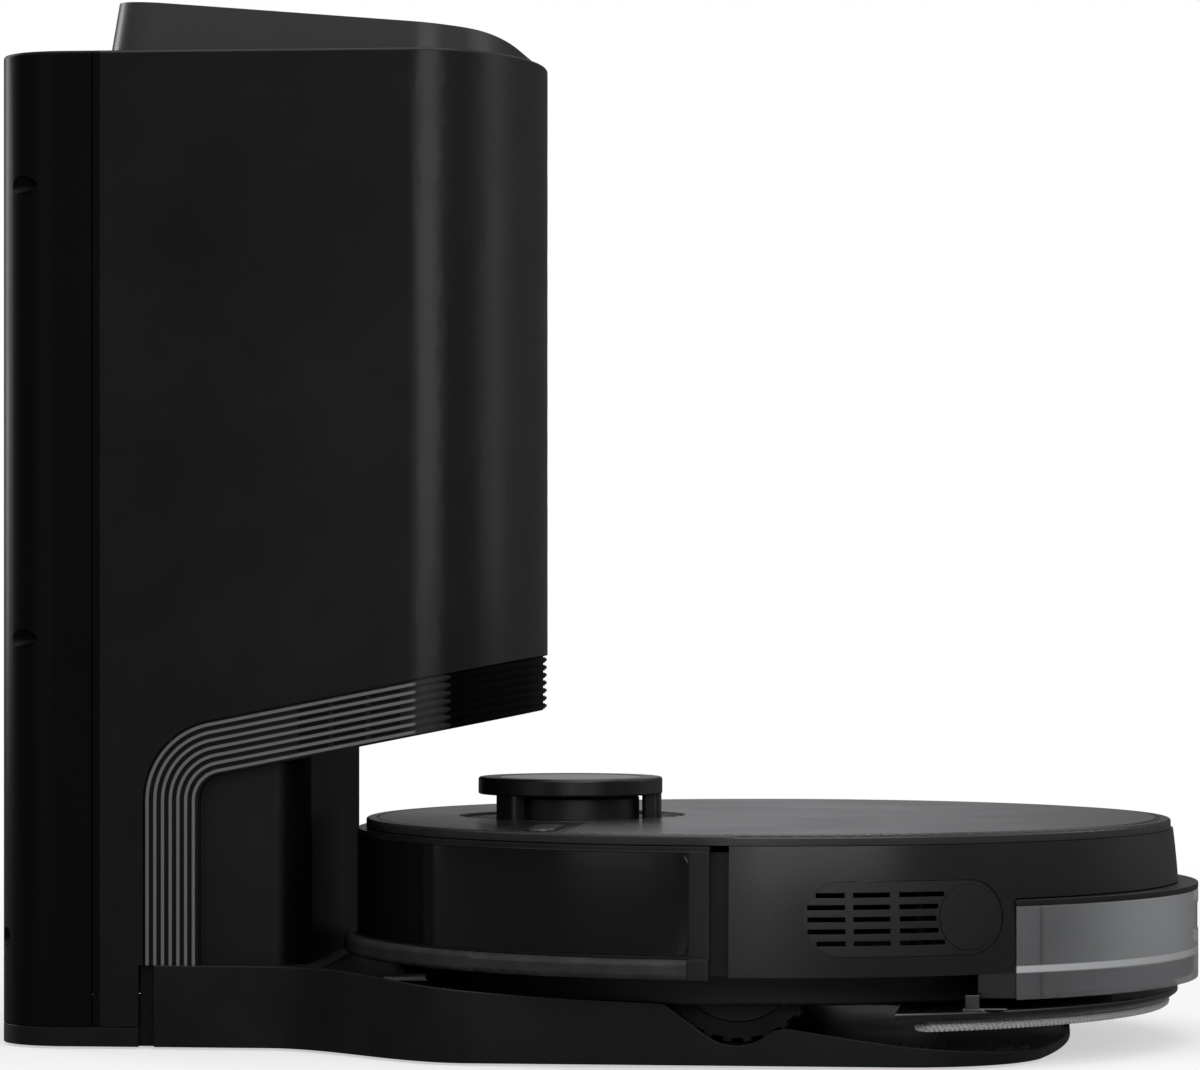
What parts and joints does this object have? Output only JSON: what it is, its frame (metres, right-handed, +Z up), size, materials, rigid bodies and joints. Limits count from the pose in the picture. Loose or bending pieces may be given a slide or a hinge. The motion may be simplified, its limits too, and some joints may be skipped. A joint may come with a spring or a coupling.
{
  "type": "robot vacuum with dock",
  "caption": "Round disc-shaped robot vacuum with a lidar turret, rear tank and mop, nose first in a tall dust-emptying dock with a ribbed louvre band.",
  "frame": {"origin": "centre of the bounding box in plan, on the floor", "axes": "+Z up; +X from the dock tower towards the robot's tail; Y across the width"},
  "size_m": [0.5006, 0.36, 0.437],
  "materials": {
    "housing_black": "satin black moulded plastic",
    "lid_black": "gloss black moulded plastic",
    "louvre_black": "satin",
    "base_black": "fine grained",
    "trim_black": "matte",
    "rubber": "matte rubber",
    "tyre": "ribbed rubber",
    "steel": "zinc plated",
    "contact_metal": "nickel plated",
    "bag_paper": "non-woven cloth",
    "bag_card": "white moulded collar",
    "bay_grey": "matte",
    "filter_paper": "pleated filter",
    "impeller_grey": "glass filled nylon",
    "deck_black": "gloss",
    "deck_plate": "gloss with fine metallic flake",
    "window_black": "infrared-clear gloss black",
    "navy_disc": "gloss navy",
    "tank_smoke": "smoky clear plastic",
    "tank_ledge": "light grey",
    "mop_gloss": "gloss",
    "mop_cloth": "grey twill microfibre",
    "bristle": "nylon bristle",
    "brush_rubber": "silicone",
    "cell_wrap": "shrink wrap"
  },
  "bodies": {
    "dock": {"rear_cover": "housing_black", "main_housing": "housing_black", "louvre_band": "louvre_black", "head_underside": "louvre_black", "column": "louvre_black", "base_tray": "base_black", "base_rim": "base_black", "bottom_plate": "base_black", "lid_hinge_pin": "steel", "dock_seals": "rubber", "wheel_tracks": "base_black", "bag_chamber": "bay_grey", "dust_bag": "bag_paper", "bag_collar": "bag_card", "motor_housing": "trim_black", "exhaust_filters": "filter_paper", "suction_duct": "trim_black", "power_inlet": "trim_black", "cover_screws": "steel", "rubber_feet": "rubber"},
    "lid": {"dock_lid": "lid_black"},
    "impeller": {"dock_impeller": "impeller_grey"},
    "contacts": {"charging_contacts": "contact_metal"},
    "robot": {"chassis": "trim_black", "body_shell": "deck_black", "top_cover": "deck_black", "top_plate": "deck_plate", "lidar_base": "trim_black", "lidar_cap": "deck_black", "cap_disc": "navy_disc", "vent_plates": "trim_black", "vent_discs": "trim_black", "brush_housing": "trim_black", "brush_cover": "trim_black", "charge_pads": "contact_metal", "battery": "cell_wrap", "robot_fan": "trim_black"},
    "bumper": {"bumper_shell": "deck_black", "bumper_window": "window_black", "bumper_lip": "rubber"},
    "lidar": {"lidar_rotor": "trim_black"},
    "button_power": {"power_button": "deck_plate"},
    "button_home": {"home_button": "deck_plate"},
    "arm_near": {"wheel_arm_near": "trim_black"},
    "arm_far": {"wheel_arm_far": "trim_black"},
    "wheel_near": {"wheel_hub_near": "trim_black", "tyre_near": "tyre"},
    "wheel_far": {"wheel_hub_far": "trim_black", "tyre_far": "tyre"},
    "caster": {"caster_fork": "trim_black"},
    "caster_roller": {"caster_wheel": "trim_black"},
    "side_brush": {"side_brush_hub": "brush_rubber", "side_brush_bristles": "bristle"},
    "roller": {"main_brush": "brush_rubber"},
    "tank": {"tank_body": "tank_smoke", "tank_top_cover": "trim_black", "tank_tray": "tank_ledge"},
    "latch": {"tank_latch": "trim_black"},
    "mop": {"mop_plate": "mop_gloss", "mop_cloth": "mop_cloth"}
  },
  "joints": [
    {"name": "undock", "type": "slide", "parent": "dock", "child": "robot", "axis": [0.9998, 0, -0.02], "range_m": [0, 0.44]},
    {"name": "lid_hinge", "type": "hinge", "parent": "dock", "child": "lid", "pos_m": [-0.2029, 0, 0.4179], "axis": [0, -1, 0], "range_deg": [0, 85]},
    {"name": "dock_fan_spin", "type": "hinge", "parent": "dock", "child": "impeller", "pos_m": [-0.108, 0, 0.19], "axis": [0, 0, 1], "continuous": true},
    {"name": "contact_press", "type": "slide", "parent": "dock", "child": "contacts", "axis": [0, 0, -1], "range_m": [0, 0.0018], "stiffness_N_per_m": 300, "springref_m": -0.001},
    {"name": "bumper_press", "type": "slide", "parent": "robot", "child": "bumper", "axis": [1, 0, 0], "range_m": [0, 0.006], "stiffness_N_per_m": 250, "springref_m": -0.002},
    {"name": "lidar_spin", "type": "hinge", "parent": "robot", "child": "lidar", "pos_m": [-0.0166, 0, 0.097], "axis": [0, 0, 1], "continuous": true},
    {"name": "power_press", "type": "slide", "parent": "robot", "child": "button_power", "axis": [0, 0, -1], "range_m": [0, 0.001], "stiffness_N_per_m": 400, "springref_m": -0.0005},
    {"name": "home_press", "type": "slide", "parent": "robot", "child": "button_home", "axis": [0, 0, -1], "range_m": [0, 0.001], "stiffness_N_per_m": 400, "springref_m": -0.0005},
    {"name": "suspension_near", "type": "hinge", "parent": "robot", "child": "arm_near", "pos_m": [0.02, -0.104, 0.052], "axis": [0, -1, 0], "range_deg": [0, 12], "stiffness_Nm_per_rad": 4, "springref_deg": -8.59},
    {"name": "suspension_far", "type": "hinge", "parent": "robot", "child": "arm_far", "pos_m": [0.02, 0.104, 0.052], "axis": [0, -1, 0], "range_deg": [0, 12], "stiffness_Nm_per_rad": 4, "springref_deg": -8.59},
    {"name": "wheel_spin_near", "type": "hinge", "parent": "arm_near", "child": "wheel_near", "pos_m": [0.0655, -0.122, 0.043], "axis": [0, 1, 0], "continuous": true},
    {"name": "wheel_spin_far", "type": "hinge", "parent": "arm_far", "child": "wheel_far", "pos_m": [0.0655, 0.122, 0.043], "axis": [0, 1, 0], "continuous": true},
    {"name": "caster_swivel", "type": "hinge", "parent": "robot", "child": "caster", "pos_m": [-0.042, 0, 0.04], "axis": [0, 0, 1], "continuous": true},
    {"name": "caster_roll", "type": "hinge", "parent": "caster", "child": "caster_roller", "pos_m": [-0.034, 0, 0.022], "axis": [0, 1, 0], "continuous": true},
    {"name": "side_brush_spin", "type": "hinge", "parent": "robot", "child": "side_brush", "pos_m": [-0.024, -0.092, 0.022], "axis": [0, 0, 1], "continuous": true},
    {"name": "main_brush_spin", "type": "hinge", "parent": "robot", "child": "roller", "pos_m": [0.046, 0, 0.0385], "axis": [0, 1, 0], "continuous": true},
    {"name": "tank_out", "type": "slide", "parent": "robot", "child": "tank", "axis": [1, 0, 0], "range_m": [0, 0.16]},
    {"name": "latch_press", "type": "slide", "parent": "tank", "child": "latch", "axis": [-1, 0, 0], "range_m": [0, 0.002], "stiffness_N_per_m": 500, "springref_m": -0.001},
    {"name": "mop_out", "type": "slide", "parent": "robot", "child": "mop", "axis": [1, 0, 0], "range_m": [0, 0.16]}
  ]
}
